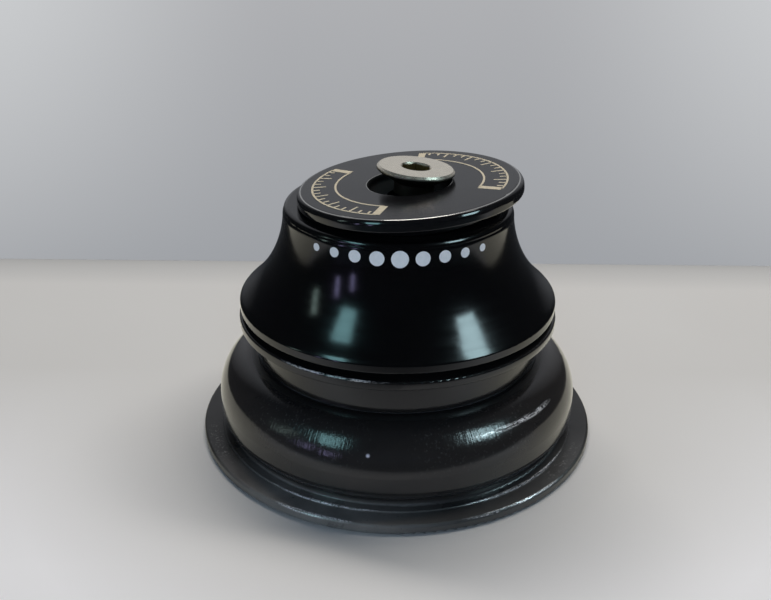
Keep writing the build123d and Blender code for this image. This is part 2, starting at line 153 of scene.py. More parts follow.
def start_material(name, **sockets):
    """A material with one Principled shader, whose constant sockets are set straight away."""
    material = bpy.data.materials.new(name)
    material.use_nodes = True
    shader = material.node_tree.nodes["Principled BSDF"]
    for socket, value in sockets.items():
        shader.inputs[socket.replace("_", " ")].default_value = value
    return material, material.node_tree, shader


def connect(tree, shader, **sockets):
    """Links a shader's sockets to what feeds them."""
    for socket, value in sockets.items():
        tree.links.new(outlet(value), shader.inputs[socket.replace("_", " ")])


print("white is", srgb("#ffffff"))

# %% [markdown]
# ## The table and the room
# The stack stands on a pale table whose far edge is close behind it, with a grey-blue room beyond. The
# table is a plane whose far edge is pulled down and rounded, which makes the horizon soft. The room is
# the world: the camera sees it pale all round, while reflections see it lit behind the stack and dim in
# front, as a room with its windows to the sides is. The plain light that it gives is weak, because the
# lamps do that work.

# %% Model the table
TABLE_BACK = 82 * MM
TABLE_DEPTH = 900 * MM
TABLE_WIDTH = 1800 * MM
TABLE_DROP = 40 * MM
TABLE_EDGE = 24 * MM
TABLE_EDGE_STEPS = 12


def select_far_edge():
    """Selects the upper edge at the table's far end, in edit mode."""
    bpy.ops.mesh.select_all(action="DESELECT")
    bpy.ops.object.mode_set(mode="OBJECT")
    for edge in table.data.edges:
        ends = [table.data.vertices[index].co for index in edge.vertices]
        edge.select = all(end.y > TABLE_BACK - MM and end.z > -MM for end in ends)
    bpy.ops.object.mode_set(mode="EDIT")


deselect()
bpy.ops.mesh.primitive_plane_add(size=1, location=(0, 0, 0))
table = bpy.context.object
table.name = "table"
bpy.ops.object.mode_set(mode="EDIT")
bpy.ops.mesh.select_mode(type="EDGE")
bpy.ops.transform.resize(value=(TABLE_WIDTH, TABLE_DEPTH, 1))
bpy.ops.transform.translate(value=(0, TABLE_BACK - TABLE_DEPTH / 2, 0))
select_far_edge()
bpy.ops.mesh.extrude_region_move(TRANSFORM_OT_translate={"value": (0, 0, -TABLE_DROP)})
select_far_edge()
bpy.ops.mesh.bevel(offset=TABLE_EDGE, segments=TABLE_EDGE_STEPS)
bpy.ops.object.mode_set(mode="OBJECT")
bpy.ops.object.shade_smooth()
print("table faces", len(table.data.polygons))

# %% Paint the table
# Melamine board: a pale, faintly warm sheet with a soft sheen and a mottle too weak to name. Painted light
# makes it lighter out in front, away from the stack, which leaves painted shade near it. For the camera its
# far edge fades towards the wall. For reflections, painted light makes it white beside and behind the
# stack, as under a bright wall, and painted shade makes it dark where the picture ends in front.
MOTTLE = 45 * MM
# Reach and depth of the painted light; BESIDE is painted light and SHADE painted shade, in reflections only.
PAINTED_LIGHT_REACH = (36 * MM, 60 * MM)
PAINTED_LIGHT_DEPTH = (15 * MM, -38 * MM)
FADE = (50 * MM, 68 * MM)
BESIDE = (-34 * MM, -10 * MM)
SHADE = (-41 * MM, -69 * MM)

material, tree, shader = start_material("melamine_board", Roughness=0.55)
place = add(tree, "TexCoord").outputs["Object"]
depth = add(tree, "SeparateXYZ", {"Vector": place}).outputs["Y"]
reach = add(tree, "VectorMath", {0: place}, operation="LENGTH")
ray = add(tree, "LightPath").outputs
mottle = add(tree, "TexNoise", {"Vector": place, "Scale": 1 / MOTTLE, "Detail": 3.0})
painted_light_front = add(tree, "MapRange", {"Value": depth, **span(*PAINTED_LIGHT_DEPTH)})
tone = add(tree, "Mix", {0: mottle, MIX_A: srgb("#cfccc7"), MIX_B: srgb("#d5d3ce")}, data_type="RGBA")
# Painted light out in front and beside the stack, the far edge's fade, and painted shade in front.
for value, limits, share, code in ((reach, PAINTED_LIGHT_REACH, painted_light_front, "#f2f0ee"),
                                   (depth, FADE, ray["Is Camera Ray"], "#aaaaa8"),
                                   (depth, BESIDE, ray["Is Glossy Ray"], "#fffae6"),
                                   (depth, SHADE, ray["Is Glossy Ray"], "#2a2928")):
    mask = add(tree, "MapRange", {"Value": value, **span(*limits)})
    mask = add(tree, "Math", {0: mask, 1: share}, operation="MULTIPLY")
    tone = add(tree, "Mix", {0: mask, MIX_A: tone, MIX_B: srgb(code)}, data_type="RGBA")
connect(tree, shader, Base_Color=tone)
table.data.materials.append(material)
print("table painted", material.name)

# %% Paint the room
ROOM_LIT = srgb("#a9abb0")
ROOM_DIM = srgb("#26282b")
FILL = srgb("#444d5a")
LIT_SIDE = Vector((0, 0.88, 0.47)).normalized()
LIT_REACH = [math.cos(math.radians(angle)) for angle in (47, 28)]
WALL_RISE = (-0.42, -0.12)
CORNER_REACH = (0.1, 0.4)

world = bpy.context.scene.world or bpy.data.worlds.new("room")
bpy.context.scene.world = world
world.use_nodes = True
tree = world.node_tree
tree.nodes.clear()
gaze = add(tree, "TexCoord").outputs["Generated"]
look = add(tree, "SeparateXYZ", {"Vector": gaze}).outputs
ray = add(tree, "LightPath").outputs

# Reflections see a room that is lit behind the stack.
behind = add(tree, "VectorMath", {0: gaze, 1: tuple(LIT_SIDE)}, operation="DOT_PRODUCT")
behind = add(tree, "MapRange", {"Value": behind, **span(*LIT_REACH)})
room = add(tree, "Mix", {0: behind, MIX_A: ROOM_DIM, MIX_B: ROOM_LIT}, data_type="RGBA")

# The camera sees a pale wall, lighter with height and towards its corners.
height = add(tree, "MapRange", {"Value": look["Z"], **span(*WALL_RISE)})
wall = add(tree, "Mix", {0: height, MIX_A: srgb("#9b9ea3"), MIX_B: srgb("#b0b1b4")}, data_type="RGBA")
aside = add(tree, "Math", {0: look["X"]}, operation="ABSOLUTE")
corner = add(tree, "MapRange", {"Value": aside, **span(*CORNER_REACH)}, interpolation_type="SMOOTHSTEP")
corner = add(tree, "Math", {0: corner, 1: height}, operation="MULTIPLY")
wall = add(tree, "Mix", {0: corner, MIX_A: wall, MIX_B: srgb("#ccced0")}, data_type="RGBA")

plain = add(tree, "Mix", {0: ray["Is Glossy Ray"], MIX_A: FILL, MIX_B: room}, data_type="RGBA")
shown = add(tree, "Mix", {0: ray["Is Camera Ray"], MIX_A: plain, MIX_B: wall}, data_type="RGBA")
surface = add(tree, "Background", {"Color": shown, "Strength": 1.0})
add(tree, "OutputWorld", {"Surface": surface})
print("room painted")

# %% [markdown]
# ## The lamps
# One long tube hangs above and behind the stack, a little to the right, so that the soft shadow falls to
# the front and left. Bare metal would mirror it too brightly, so a weaker twin is what reflections show. A
# cooler lamp fills the front, and no reflection shows it. Leaning panes and narrow strips stand in front,
# left and right. They are the window shapes that the cover and the cups mirror, and they show in
# reflections only, so that they don't add to the plain light.

# %% Hang the lamps
LAMP_TARGET = Vector((0, 0, 20 * MM))


def lamp(name, azimuth, rise, distance, width, height, radiance, colour, lean=0, mirrored=True, lights=True):
    """An area lamp that faces the stack: angles are in degrees, and its power follows from its radiance."""
    azimuth = math.radians(azimuth)
    rise = math.radians(rise)
    away = Vector((math.cos(rise) * math.cos(azimuth), math.cos(rise) * math.sin(azimuth), math.sin(rise)))
    deselect()
    bpy.ops.object.light_add(type="AREA", location=LAMP_TARGET + away * distance)
    light = bpy.context.object
    light.name = name
    facing = away.to_track_quat("Z", "Y") @ Quaternion((0, 0, 1), math.radians(lean))
    light.rotation_euler = facing.to_euler()
    light.data.shape = "RECTANGLE"
    light.data.size = width
    light.data.size_y = height
    light.data.energy = radiance * math.pi * width * height
    light.data.color = srgb(colour)[:3]
    light.visible_glossy = mirrored
    light.visible_diffuse = lights


lamp("ceiling_tube", 72, 63, 0.75, 1.0, 0.1, 18.3, "#fffbf7", mirrored=False)
lamp("mirrored_tube", 76, 66, 0.75, 0.5, 0.06, 7.0, "#fffbf7", lights=False)
lamp("front_fill", -94, 19, 0.75, 0.5, 0.4, 2.7, "#c2daf6", mirrored=False)
lamp("left_window", -137, 40, 0.6, 0.12, 0.27, 6.2, "#aeeef6", lean=22, lights=False)
lamp("right_window", -24, 42, 0.6, 0.145, 0.26, 13.0, "#cbeef6", lean=-28, lights=False)
lamp("far_left_window", -164, 22, 0.6, 0.045, 0.17, 3.2, "#cfeee6", lights=False)
lamp("left_strip", -144, 13, 0.6, 0.035, 0.14, 5.0, "#b9b4ea", lights=False)
lamp("low_strip", -130, 10, 0.6, 0.035, 0.12, 5.0, "#b9b4ea", lights=False)

# %% [markdown]
# ## Finishes of turned pieces
# Every ring here was turned on a lathe, so its marks run round the axis. Object coordinates are the
# frame's own, in metres. They are turned into millimetres, a radius, a height and a direction, and the
# patterns below are all written in those.

# %% Coordinates of a turned piece
# A streak has its stated length at this radius, about the middle of the stack's rings.
STREAK_R = 25.0


def millimetres(tree):
    """The place on the object in millimetres."""
    return add(tree, "VectorMath", {0: add(tree, "TexCoord").outputs["Object"], 1: (1 / MM,) * 3},
               operation="MULTIPLY")


def turned(tree, place):
    """The direction round the axis, and the section point (radius, height)."""
    axes = add(tree, "SeparateXYZ", {"Vector": place}).outputs
    flat = add(tree, "CombineXYZ", {"X": axes["X"], "Y": axes["Y"]})
    radius = add(tree, "VectorMath", {0: flat}, operation="LENGTH")
    around = add(tree, "VectorMath", {0: flat}, operation="NORMALIZE")
    section = add(tree, "CombineXYZ", {"X": radius, "Y": axes["Z"]})
    return around, section


def streaks(tree, around, section, across, along, **inputs):
    """Noise that is drawn out round the axis: across and along are the size of a streak in millimetres."""
    spread = add(tree, "VectorMath", {0: around, "Scale": STREAK_R / along}, operation="SCALE")
    turn = add(tree, "SeparateXYZ", {"Vector": spread}).outputs
    point = add(tree, "VectorMath", {0: section, "Scale": 1 / across}, operation="SCALE")
    ring = add(tree, "SeparateXYZ", {"Vector": point}).outputs
    vector = add(tree, "CombineXYZ", {"X": turn["X"], "Y": turn["Y"], "Z": ring["X"]})
    return add(tree, "TexNoise", {"Vector": vector, "W": ring["Y"], "Scale": 1.0, **inputs},
               noise_dimensions="4D")


def near_ring(tree, section, radius, height, width):
    """One at a ring of that radius and height, falling to zero at a distance of width."""
    distance = add(tree, "VectorMath", {0: section, 1: (radius, height, 0)}, operation="DISTANCE")
    return add(tree, "MapRange", {"Value": distance, **span(width, 0.0)})


def toward(tree, around, direction, full, none):
    """One within full degrees of a direction round the axis, falling to zero at none degrees."""
    turn = math.radians(direction)
    facing = add(tree, "VectorMath", {0: around, 1: (math.cos(turn), math.sin(turn), 0)},
                 operation="DOT_PRODUCT")
    limits = span(math.cos(math.radians(none)), math.cos(math.radians(full)))
    return add(tree, "MapRange", {"Value": facing, **limits})


def any_of(tree, masks):
    """The largest of several masks."""
    result = masks[0]
    for mask in masks[1:]:
        result = add(tree, "Math", {0: result, 1: mask}, operation="MAXIMUM")
    return result


def two_tone(tree, pattern, dark, light, smooth, dull):
    """A colour and a roughness that both follow one pattern, from its low to its high places."""
    tone = add(tree, "Mix", {0: pattern, MIX_A: srgb(dark), MIX_B: srgb(light)}, data_type="RGBA")
    gloss = add(tree, "MapRange", {"Value": pattern, **span(0.3, 0.7), "To Min": smooth, "To Max": dull})
    return tone, gloss


def dress(material, *names):
    """Gives CAD nodes their finish."""
    for name in names:
        nodes[name].material_slots[0].material = material
    print(material.name, "on", ", ".join(names))


# %% [markdown]
# ## Electro-coated steel: the two cups
# The cups are pressed and turned steel, dipped in a black coat. The coat is half gloss, and a thin film of
# dust makes it paler where it is seen edge on, which is what sheen is for. Handling has brushed the round
# shoulder in two patches, so that a window mirrored there breaks into short strokes, and edges are rubbed
# through to bare steel. The rubbed strips are also painted near white where highlights lie, so they are
# partly wear and partly painted highlight, and the dust on the flange is partly painted light, palest
# where the flange lies in shade. All that could be painted by hand, but a mask for each kind of wear,
# written in millimetres and degrees, puts it where it lies on the object and stays sharp from any distance.

# %% Measure where the coat is worn
lower_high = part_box("lower_cup")[1] / MM
upper_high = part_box("upper_cup")[1] / MM
FLANGE_SHEET = 1.5
STEP_EDGE = FLANGE_SHEET + 0.25
FLANGE_EDGE_R = lower_high.x - 0.25
PRESS_BAND_R = 28.0
HOLE_RIM_R = 22.4
CREST_R = 26.2
CREST_SEARCH = 0.25
crest = max(vertex.co.z for vertex in nodes["lower_cup"].data.vertices
            if abs(vertex.co.xy.length / MM - CREST_R) < CREST_SEARCH) / MM
print("shoulder's crest at", round(crest, 2), "mm")

# %% Brushed patches, and dust with painted light
# Each patch has its direction round the axis, how far it is full and where it ends, all in degrees.
HELD = ((-120, 13, 24), (-64, 13, 24))
HELD_R = CREST_R - 0.8
HELD_WIDTH = 5.5
DUST_HEIGHT = (2.5, 1.5)
# Where the dust is palest and where greyer: painted light, palest where the flange lies in the stack's shade.
DUST_AND_PAINTED_LIGHT_FRONT = (-112, 8, 42)
DUST_AND_PAINTED_LIGHT_RIGHT = (-52, 20, 40)


def brushed_patches(tree, around, section, cloud):
    """The two patches on the lower cup's shoulder that handling has brushed."""
    ring = near_ring(tree, section, HELD_R, crest, HELD_WIDTH)
    held = any_of(tree, [toward(tree, around, *patch) for patch in HELD])
    brushed = add(tree, "Math", {0: ring, 1: held}, operation="MULTIPLY")
    patchy = add(tree, "MapRange", {"Value": cloud, **span(0.3, 0.5), "To Min": 0.4, "To Max": 1.0})
    return add(tree, "Math", {0: brushed, 1: patchy}, operation="MULTIPLY")


def dust_and_painted_light(tree, around, height, cloud):
    """Dust on the flange and the low step: how much there is, and its colour, which is also painted light:
    palest in front, where the flange lies in shade, greyer where more light falls.
    """
    lying = add(tree, "MapRange", {"Value": height, **span(*DUST_HEIGHT)})
    uneven = add(tree, "MapRange", {"Value": cloud, **span(0.25, 0.75), "To Min": 0.45, "To Max": 1.0})
    settled = add(tree, "Math", {0: lying, 1: uneven}, operation="MULTIPLY")
    # Painted light: the colour is palest in front, where the flange lies in shade, and greyer to the right,
    # where more light falls.
    front = toward(tree, around, *DUST_AND_PAINTED_LIGHT_FRONT)
    dust_tone_with_painted_light = add(tree, "Mix", {0: front, MIX_A: srgb("#191918"), MIX_B: srgb("#8a8680")}, data_type="RGBA")
    right_side = toward(tree, around, *DUST_AND_PAINTED_LIGHT_RIGHT)
    dust_tone_with_painted_light = add(tree, "Mix", {0: right_side, MIX_A: dust_tone_with_painted_light, MIX_B: srgb("#4c4b49")}, data_type="RGBA")
    return settled, dust_tone_with_painted_light


# %% Scratches, and rubbed edges with painted highlights
# Sizes are in millimetres. A stroke's are its width across the ring and its length along it.
SCRATCH = 0.55
GRIPS = ((-157, 5, 13), (-31, 5, 13))
GRIP_R = lower_high.x - 1.6
GRIP_WIDTH = 1.5
RUB_AND_HIGHLIGHT_STROKE = (0.3, 2.6)
# Each rubbed strip, with its painted highlight, has its ring's radius, height and width, then its direction
# and its half length.
RUBBED_AND_HIGHLIGHTS = ((CREST_R, crest, 0.6, -49, 21),
          (PRESS_BAND_R, STEP_EDGE, 0.4, -48, 27),
          (PRESS_BAND_R, STEP_EDGE, 0.4, -112, 20),
          (FLANGE_EDGE_R, FLANGE_SHEET, 0.4, -56, 19),
          (FLANGE_EDGE_R, FLANGE_SHEET, 0.5, -112, 13),
          (upper_high.x, upper_high.z, 0.4, -112, 24))


def grip_scratches(tree, place, around, section):
    """Two patches of fine scratches on the flange, where it was gripped."""
    gripped = any_of(tree, [toward(tree, around, *patch) for patch in GRIPS])
    outer = near_ring(tree, section, GRIP_R, FLANGE_SHEET, GRIP_WIDTH)
    scratch = add(tree, "TexNoise", {"Vector": place, "Scale": 1 / SCRATCH, "Detail": 3.0, "Distortion": 1.5})
    scratch = add(tree, "MapRange", {"Value": scratch, **span(0.56, 0.66)})
    for mask in (gripped, outer):
        scratch = add(tree, "Math", {0: scratch, 1: mask}, operation="MULTIPLY")
    return scratch


def rubbed_edges_with_highlights(tree, around, section, grit):
    """Edges that are rubbed through to bare steel and painted near white as highlights, in strips that break
    into long thin strokes.
    """
    stroke_pattern = streaks(tree, around, section, *RUB_AND_HIGHLIGHT_STROKE, Detail=3.0, Roughness=0.65)
    stroke_pattern = add(tree, "MapRange", {"Value": stroke_pattern, **span(0.42, 0.56)})
    grainy = add(tree, "MapRange", {"Value": grit, **span(0.4, 0.52)})
    stroke_pattern = add(tree, "Math", {0: stroke_pattern, 1: grainy}, operation="MULTIPLY")
    strips = []
    for radius, level, width, direction, spread in RUBBED_AND_HIGHLIGHTS:
        ring = near_ring(tree, section, radius, level, width)
        side = toward(tree, around, direction, spread / 3, spread)
        strips.append(add(tree, "Math", {0: ring, 1: side}, operation="MULTIPLY"))
    rubbed_and_highlight = add(tree, "MapRange", {"Value": any_of(tree, strips), **span(0.2, 0.6)})
    return add(tree, "Math", {0: rubbed_and_highlight, 1: stroke_pattern}, operation="MULTIPLY")


# %% Electro-coated steel
CLOUD = 7.0
GRIT = 0.2
DENT = 0.34
CHIP = (0.4, 0.3)
BRUSH_STROKE = (2.5, 0.24)
# The nick's place, where a painted highlight sits on a real nick.
NICK_AND_HIGHLIGHT = (-3.8, -26.9, 10.15)
UPPER_DARKENING_HEIGHT = (13.0, 14.0)
GROUND_WIDTH = 1.0


def electro_coated_steel():
    # A thin black film on steel: half gloss, near-black, pale only where it is rubbed through or dusty, and
    # those pale marks also carry painted highlights and painted light.
    material, tree, shader = start_material("electro_coated_steel", IOR=1.5, Sheen_Weight=0.09,
                                            Sheen_Roughness=0.25)
    place = millimetres(tree)
    around, section = turned(tree, place)
    height = add(tree, "SeparateXYZ", {"Vector": section}).outputs["Y"]
    cloud = add(tree, "TexNoise", {"Vector": place, "Scale": 1 / CLOUD, "Detail": 4.0, "Roughness": 0.6})
    grit = add(tree, "TexNoise", {"Vector": place, "Scale": 1 / GRIT, "Detail": 2.0})
    dents = add(tree, "TexNoise", {"Vector": place, "Scale": 1 / DENT, "Detail": 0.5})
    chips = streaks(tree, around, section, *CHIP, Detail=1.0, Roughness=0.5)
    brushed = streaks(tree, around, section, *BRUSH_STROKE, Detail=1.0, Roughness=0.5)

    # The kinds of wear, with a few pale specks and one nick in the shoulder, whose pale lavender is a painted
    # highlight.
    scuffed = brushed_patches(tree, around, section, cloud)
    strokes = add(tree, "MapRange", {"Value": chips, **span(0.6, 0.72)})
    strokes = add(tree, "Math", {0: strokes, 1: scuffed}, operation="MULTIPLY")
    settled, dust_tone_with_painted_light = dust_and_painted_light(tree, around, height, cloud)
    scratch = grip_scratches(tree, place, around, section)
    rubbed_and_highlight = rubbed_edges_with_highlights(tree, around, section, grit)
    specks = add(tree, "MapRange", {"Value": grit, **span(0.66, 0.78)})
    nick_and_highlight = add(tree, "VectorMath", {0: place, 1: NICK_AND_HIGHLIGHT}, operation="DISTANCE")
    nick_and_highlight = add(tree, "MapRange", {"Value": nick_and_highlight, **span(0.34, 0.1)})

    # Colour: the coat, darker and blacker above 13 mm, on the upper cup, and then each kind of wear over it;
    # the dust, the nick and the rubbed strips also carry painted light and painted highlights.
    tone, gloss = two_tone(tree, cloud, "#232120", "#2e2b29", 0.10, 0.16)
    upper_darkening = add(tree, "MapRange", {"Value": height, **span(*UPPER_DARKENING_HEIGHT), "To Max": 0.65})
    for mask, colour in ((upper_darkening, srgb("#0c0c0c")), (settled, dust_tone_with_painted_light), (specks, srgb("#2a2a29")),
                         (strokes, srgb("#4a4947")), (scratch, srgb("#75736f")), (nick_and_highlight, srgb("#d8d4de")),
                         (rubbed_and_highlight, srgb("#f4f2ee"))):
        tone = add(tree, "Mix", {0: mask, MIX_A: tone, MIX_B: colour}, data_type="RGBA")

    # Gloss: duller under dust, in the brushed patches and on the rim where the two cups grind together.
    dusty = add(tree, "Math", {0: settled, 1: rubbed_and_highlight}, operation="SUBTRACT", use_clamp=True)
    ground = near_ring(tree, section, HOLE_RIM_R, lower_high.z, GROUND_WIDTH)
    worn = add(tree, "Math", {0: scuffed, 1: 0.25}, operation="MULTIPLY")
    dull = add(tree, "Math", {0: any_of(tree, [dusty, ground, worn]), 1: 0.3, 2: gloss},
               operation="MULTIPLY_ADD")
    bare = add(tree, "Math", {0: rubbed_and_highlight, 1: 0.12}, operation="MULTIPLY")

    # Relief: deep enough to break a reflection in the brushed patches, and a faint orange peel elsewhere.
    relief = add(tree, "Math", {0: dents, 1: 0.5, 2: brushed}, operation="MULTIPLY_ADD")
    depth = add(tree, "MapRange", {"Value": scuffed, "To Min": 0.03, "To Max": 0.44})
    bump = add(tree, "Bump", {"Height": relief, "Strength": depth, "Distance": 0.09 * MM})
    connect(tree, shader, Base_Color=tone, Roughness=dull, Metallic=bare, Normal=bump)
    return material


dress(electro_coated_steel(), "lower_cup", "upper_cup")

# %% [markdown]
# ## The upper cup's straight band
# The skirt of the upper cup is a straight band right down to where it rests on the lower cup, and only its
# bottom edge is rounded. The solid has a rounder bowl there. The cup could be spun anew from an outline,
# but a copy of its mesh keeps everything else as it is: the copy is merged, and the rings of points on the
# bowl's outside are scaled out to the band, one height at a time.

# %% Straighten the band
MERGE = 0.001 * MM
BAND_R = 22.0
BAND_FOOT = 13.5
BAND_ROUND = 0.8
BAND_TOP = 17.3
BOWL_OUTSIDE_R = 20.0
ABOVE_FOOT = 0.02

cup = bpy.data.objects.new("banded_upper_cup", nodes["upper_cup"].data.copy())
bpy.context.collection.objects.link(cup)
deselect()
cup.select_set(True)
bpy.context.view_layer.objects.active = cup
bpy.ops.mesh.customdata_custom_splitnormals_clear()
bpy.ops.object.mode_set(mode="EDIT")
bpy.ops.mesh.select_mode(type="VERT")
bpy.ops.mesh.select_all(action="SELECT")
bpy.ops.mesh.remove_doubles(threshold=MERGE)
bpy.ops.mesh.bisect(plane_co=(0, 0, BAND_FOOT * MM), plane_no=(0, 0, 1))
bpy.ops.object.mode_set(mode="OBJECT")
rings = {}
for vertex in cup.data.vertices:
    radius = math.hypot(vertex.co.x, vertex.co.y) / MM
    if radius > BOWL_OUTSIDE_R and BAND_FOOT + ABOVE_FOOT < vertex.co.z / MM < BAND_TOP:
        rings.setdefault(round(vertex.co.z / MM, 2), []).append((vertex.index, radius))
for height, ring in sorted(rings.items()):
    rise = min(max(height - BAND_FOOT, 0), BAND_ROUND)
    target = BAND_R - BAND_ROUND + math.sqrt(BAND_ROUND ** 2 - (BAND_ROUND - rise) ** 2)
    bpy.ops.object.mode_set(mode="EDIT")
    bpy.ops.mesh.select_all(action="DESELECT")
    bpy.ops.object.mode_set(mode="OBJECT")
    for index, radius in ring:
        cup.data.vertices[index].select = True
    bpy.ops.object.mode_set(mode="EDIT")
    widen = target / max(radius for index, radius in ring)
    bpy.ops.transform.resize(value=(widen, widen, 1), center_override=(0, 0, 0))
    bpy.ops.object.mode_set(mode="OBJECT")
    print("ring at", height, "mm widened by", round(widen, 4))
bpy.ops.object.mode_set(mode="EDIT")
bpy.ops.mesh.select_all(action="SELECT")
bpy.ops.mesh.normals_make_consistent(inside=False)
bpy.ops.object.mode_set(mode="OBJECT")
bpy.ops.object.shade_smooth_by_angle(angle=math.radians(30))
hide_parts("upper_cup")
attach(cup, "cups")

# %% [markdown]
# ## Gloss black aluminium: the cover
# The cover was turned from aluminium, polished and anodised black. It mirrors the room almost cleanly:
# the panes come back as soft-edged shapes. A very low wave in the polish, fine wiping marks and a few
# dust specks keep it from looking like glass.

# %% Gloss black anodised aluminium
COVER_WAVE = 1.6
COVER_WIPE = (0.5, 9.0)
COVER_SPECKS = 2.6
SPECKS_LEFT_OUT = 0.9


def gloss_black_aluminium():
    # Polished under a dyed oxide layer: near-black, sharp reflections, a few pale specks of dust.
    material, tree, shader = start_material("gloss_black_aluminium", IOR=1.5, Sheen_Weight=0.06,
                                            Sheen_Roughness=0.25)
    place = millimetres(tree)
    around, section = turned(tree, place)
    wave = add(tree, "TexNoise", {"Vector": place, "Scale": 1 / COVER_WAVE, "Detail": 2.0})
    wiped = streaks(tree, around, section, *COVER_WIPE, Detail=2.0)
    cells = add(tree, "TexVoronoi", {"Vector": place, "Scale": 1 / COVER_SPECKS}).outputs
    speck = add(tree, "MapRange", {"Value": cells["Distance"], **span(0.045, 0.02)})
    chance = add(tree, "SeparateColor", {"Color": cells["Color"]}).outputs["Red"]
    kept = add(tree, "Math", {0: chance, 1: SPECKS_LEFT_OUT}, operation="GREATER_THAN")
    speck = add(tree, "Math", {0: speck, 1: kept}, operation="MULTIPLY")
    black = add(tree, "Mix", {0: wave, MIX_A: srgb("#050506"), MIX_B: srgb("#0a0a0b")}, data_type="RGBA")
    dusty = add(tree, "Mix", {0: speck, MIX_A: black, MIX_B: srgb("#8d8f8e")}, data_type="RGBA")
    gloss = add(tree, "MapRange", {"Value": wiped, **span(0.3, 0.7), "To Min": 0.12, "To Max": 0.17})
    bump = add(tree, "Bump", {"Height": wave, "Strength": 0.06, "Distance": 0.05 * MM})
    connect(tree, shader, Base_Color=dusty, Roughness=gloss, Normal=bump)
    return material


dress(gloss_black_aluminium(), "top_cover")

# %% [markdown]
# ## Satin black aluminium: the cap and the compression ring
# The cap has the same dye but a finer, duller ground: its flat top takes a grey sheen from the wall
# behind. Its turned edge was left polished and draws a crisp line of light, and its recess is dull and
# darkened with painted shade. So the finish has to know where the cap lies, because it is tilted: the
# flat top gives its direction, and its reach to each side gives its middle.

# %% Where the cap lies
FACING_UP = 0.99

cap = nodes["top_cap"].data
cap_up = Vector()
for face in cap.polygons:
    if face.normal.z > FACING_UP:
        cap_up += face.normal * face.area
cap_up.normalize()
cap_x = (Vector((1, 0, 0)) - cap_up * cap_up.x).normalized()
cap_y = cap_up.cross(cap_x)
middle = []
for direction in (cap_x, cap_y):
    reach = [vertex.co.dot(direction) for vertex in cap.vertices]
    middle.append((min(reach) + max(reach)) / 2)
cap_level = max(vertex.co.dot(cap_up) for vertex in cap.vertices)
cap_centre = cap_x * middle[0] + cap_y * middle[1] + cap_up * cap_level
cap_place = Matrix.Translation(cap_centre) @ Matrix((cap_x, cap_y, cap_up)).transposed().to_4x4()
print("cap leans", round(math.degrees(cap_up.angle(Vector((0, 0, 1)))), 2), "degrees")

# %% Satin black anodised aluminium
# The sockets of a Mix node that take two plain numbers.
NUMBER_A = 2
NUMBER_B = 3
CAP_GRAIN = 0.3
CAP_CLOUD = 5.0
RECESS_R = 6.3
FLAT_FACING = (0.985, 0.999)
# The polished edge begins and ends softly, at these angles from the cap's own upright.
EDGE_BEGINS = [math.cos(math.radians(angle)) for angle in (27, 24)]
EDGE_ENDS = [math.cos(math.radians(angle)) for angle in (13, 16)]


def satin_black_aluminium():
    # Finely blasted, then anodised: an even soft sheen, with the faintest grain, bright on the turned edge.
    material, tree, shader = start_material("satin_black_aluminium", IOR=1.5)
    place = millimetres(tree)
    grain = add(tree, "TexNoise", {"Vector": place, "Scale": 1 / CAP_GRAIN, "Detail": 2.0})
    cloud = add(tree, "TexNoise", {"Vector": place, "Scale": 1 / CAP_CLOUD, "Detail": 3.0})
    aside = add(tree, "VectorMath", {0: place, 1: tuple(cap_centre / MM)}, operation="SUBTRACT")
    aside = add(tree, "VectorMath", {0: aside, 1: tuple(cap_up)}, operation="CROSS_PRODUCT")
    aside = add(tree, "VectorMath", {0: aside}, operation="LENGTH")
    recess = add(tree, "Math", {0: aside, 1: RECESS_R}, operation="LESS_THAN")

    # The surface's own direction tells the flat top from the polished edge.
    facing = add(tree, "VectorMath", {0: add(tree, "TexCoord").outputs["Normal"], 1: tuple(cap_up)},
                 operation="DOT_PRODUCT")
    flat = add(tree, "MapRange", {"Value": facing, **span(*FLAT_FACING)})
    rising = add(tree, "MapRange", {"Value": facing, **span(*EDGE_BEGINS)})
    fading = add(tree, "MapRange", {"Value": facing, **span(*EDGE_ENDS)})
    bright = add(tree, "Math", {0: rising, 1: fading}, operation="MULTIPLY")
    bright = add(tree, "Math", {0: bright, 1: recess}, operation="SUBTRACT", use_clamp=True)

    tone, satin = two_tone(tree, cloud, "#0e0e0f", "#161617", 0.19, 0.26)
    # The recess is darkened with painted shade; the polished edge is light metal.
    for mask, code in ((recess, "#080808"), (bright, "#c3c1bc")):
        tone = add(tree, "Mix", {0: mask, MIX_A: tone, MIX_B: srgb(code)}, data_type="RGBA")
    gloss = add(tree, "Mix", {0: flat, NUMBER_A: 0.09, NUMBER_B: satin})
    dull = add(tree, "Mix", {0: recess, NUMBER_A: gloss, NUMBER_B: 0.95})
    bump = add(tree, "Bump", {"Height": grain, "Strength": 0.12, "Distance": 0.02 * MM})
    connect(tree, shader, Base_Color=tone, Metallic=bright, Roughness=dull, Normal=bump)
    return material


dress(satin_black_aluminium(), "top_cap", "compression_ring")

# %% [markdown]
# ## Steel inside, and rubber
# The bearings are hidden in the stack and show only from below or when a piece is lifted off. They still
# get the finish that they have: ground races with marks round the axis, bright balls, zinc-plated sheet
# for the cages, shims and star nut, and moulded rubber for the seals.

# %% Ground bearing steel, zinc-plated sheet and rubber
GRINDING = (0.15, 20.0)
ZINC_CLOUD = 1.4
TALC = 0.6


def ground_bearing_steel():
    # Hardened steel, ground and polished: bright, with very fine rings.
    material, tree, shader = start_material("ground_bearing_steel", Metallic=1.0)
    around, section = turned(tree, millimetres(tree))
    rings = streaks(tree, around, section, *GRINDING, Detail=2.0)
    tone, gloss = two_tone(tree, rings, "#b4b5b7", "#cfd0d1", 0.10, 0.24)
    bump = add(tree, "Bump", {"Height": rings, "Strength": 0.1, "Distance": 0.01 * MM})
    connect(tree, shader, Base_Color=tone, Roughness=gloss, Normal=bump)
    return material


